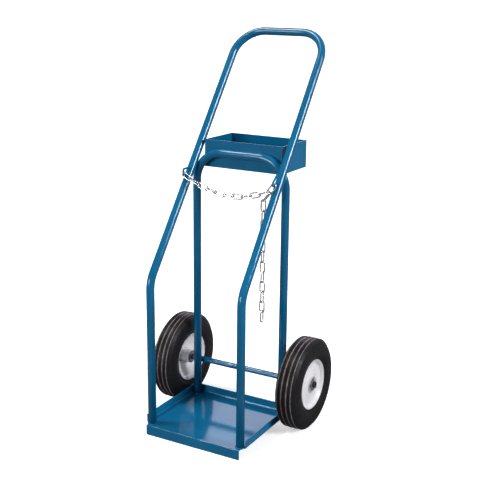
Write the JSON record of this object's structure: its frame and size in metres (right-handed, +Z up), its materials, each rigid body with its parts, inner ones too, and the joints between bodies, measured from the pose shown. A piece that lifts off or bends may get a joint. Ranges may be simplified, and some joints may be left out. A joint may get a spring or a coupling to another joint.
{
  "type": "oxy acetylene torch cart",
  "caption": "Two-wheeled tube cart with a low deck for a pair of small gas cylinders, a retaining chain, a tool tray and a slanted push handle.",
  "frame": {"origin": "on the floor under the middle of the cart's bounding box", "axes": "+X to the right seen from the open front, +Y from the front towards the handle, +Z up"},
  "size_m": [0.463, 0.4936, 1.0691],
  "materials": {
    "blue_enamel": "gloss",
    "tyre": "matte",
    "wheel_paint": "gloss",
    "bearing_steel": "satin",
    "zinc_plate": "satin",
    "chain_zinc": "gloss"
  },
  "bodies": {
    "frame": {"front_frame_tube": "blue_enamel", "rear_frame_tube": "blue_enamel", "base_pan": "blue_enamel", "tool_tray": "blue_enamel", "axle_rod": "blue_enamel", "chain_eye": "blue_enamel", "chain_hook": "blue_enamel", "left_bearing_inner_rings": "bearing_steel", "left_inner_washer": "zinc_plate", "left_outer_washer": "zinc_plate", "left_cotter_pin": "zinc_plate", "right_bearing_inner_rings": "bearing_steel", "right_inner_washer": "zinc_plate", "right_outer_washer": "zinc_plate", "right_cotter_pin": "zinc_plate"},
    "left_wheel": {"left_tyre": "tyre", "left_rim_outer_disc": "wheel_paint", "left_rim_inner_disc": "wheel_paint", "left_hub_tube": "wheel_paint", "left_bearing_outer_rings": "bearing_steel", "left_bearing_balls": "bearing_steel"},
    "right_wheel": {"right_tyre": "tyre", "right_rim_outer_disc": "wheel_paint", "right_rim_inner_disc": "wheel_paint", "right_hub_tube": "wheel_paint", "right_bearing_outer_rings": "bearing_steel", "right_bearing_balls": "bearing_steel"},
    "chain_span": {"span_link_1": "chain_zinc", "span_link_2": "chain_zinc", "span_link_3": "chain_zinc", "span_link_4": "chain_zinc", "span_link_5": "chain_zinc", "span_link_6": "chain_zinc", "span_link_7": "chain_zinc", "span_link_8": "chain_zinc", "span_link_9": "chain_zinc", "span_link_10": "chain_zinc", "hook_link": "chain_zinc", "tail_link_1": "chain_zinc"},
    "tail_top": {"tail_link_2": "chain_zinc"},
    "tail": {"tail_link_3": "chain_zinc", "tail_link_4": "chain_zinc", "tail_link_5": "chain_zinc", "tail_link_6": "chain_zinc", "tail_link_7": "chain_zinc", "tail_link_8": "chain_zinc", "tail_link_9": "chain_zinc", "tail_link_10": "chain_zinc", "tail_link_11": "chain_zinc", "tail_link_12": "chain_zinc", "tail_link_13": "chain_zinc"}
  },
  "joints": [
    {"name": "left_wheel_spin", "type": "hinge", "parent": "frame", "child": "left_wheel", "pos_m": [-0.197, 0.01827, 0.127], "axis": [1, 0, 0], "continuous": true},
    {"name": "right_wheel_spin", "type": "hinge", "parent": "frame", "child": "right_wheel", "pos_m": [0.197, 0.01827, 0.127], "axis": [1, 0, 0], "continuous": true},
    {"name": "chain_swing", "type": "hinge", "parent": "frame", "child": "chain_span", "pos_m": [-0.1375, -0.0631, 0.686], "axis": [0.9998, -0.0182, 0], "range_deg": [-25, 0]},
    {"name": "tail_sway", "type": "hinge", "parent": "chain_span", "child": "tail_top", "pos_m": [0.1081, -0.0681, 0.64281], "axis": [0, 1, 0], "range_deg": [0, 35]},
    {"name": "tail_swing", "type": "hinge", "parent": "tail_top", "child": "tail", "pos_m": [0.1081, -0.0681, 0.61541], "axis": [1, 0, 0], "range_deg": [-40, 40]}
  ]
}
